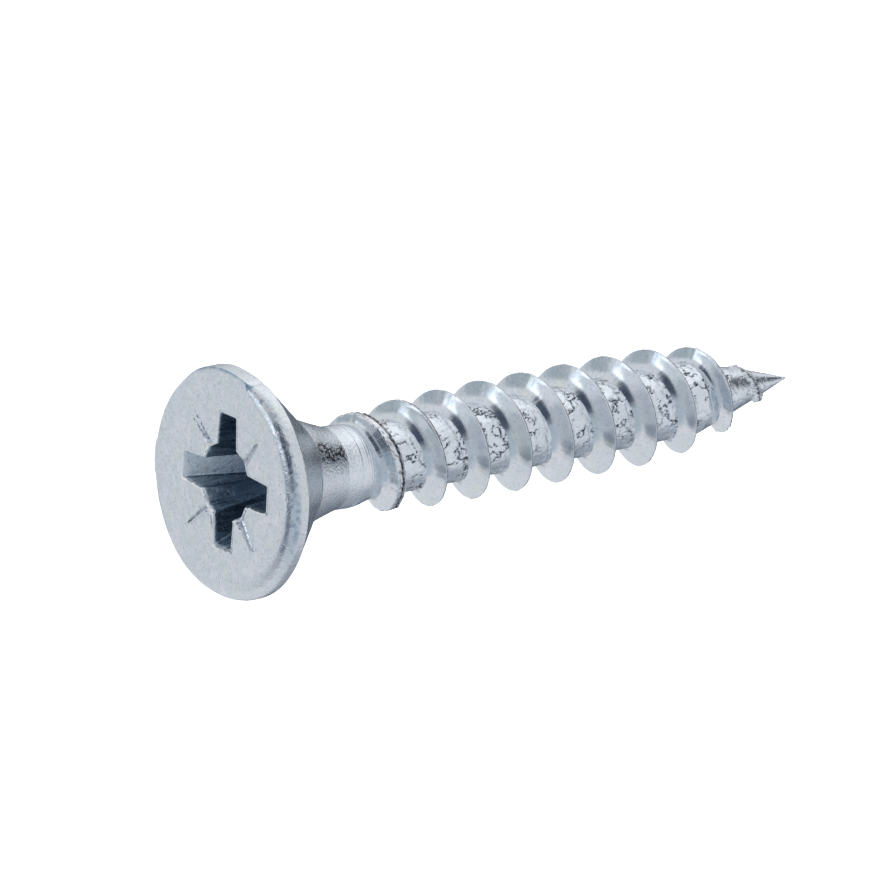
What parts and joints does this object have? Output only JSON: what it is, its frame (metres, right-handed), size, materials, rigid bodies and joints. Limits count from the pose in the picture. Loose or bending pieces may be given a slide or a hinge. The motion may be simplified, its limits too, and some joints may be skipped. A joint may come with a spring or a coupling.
{
  "type": "wood screw",
  "caption": "Countersunk wood screw with a cross recess, a smooth neck, a coarse right-hand thread and a sharp tapered point, in bright zinc-plated steel.",
  "frame": {"origin": "centre of the flat head face, on the screw's axis", "axes": "+Z along the axis, out of the head, so the point is at -Z; +X and +Y along two wings of the recess"},
  "size_m": [0.0082, 0.0082, 0.0242],
  "materials": {
    "bright_zinc": "bright zinc plate over cold-formed steel, satin, with a faint bluish tint",
    "rolled_zinc": "bright zinc plate over rolled steel, finely wrinkled between the turns"
  },
  "bodies": {
    "root": {"head": "bright_zinc", "neck": "bright_zinc", "shank": "bright_zinc", "core": "rolled_zinc", "thread": "rolled_zinc", "point": "rolled_zinc", "point_thread": "rolled_zinc"}
  },
  "joints": []
}
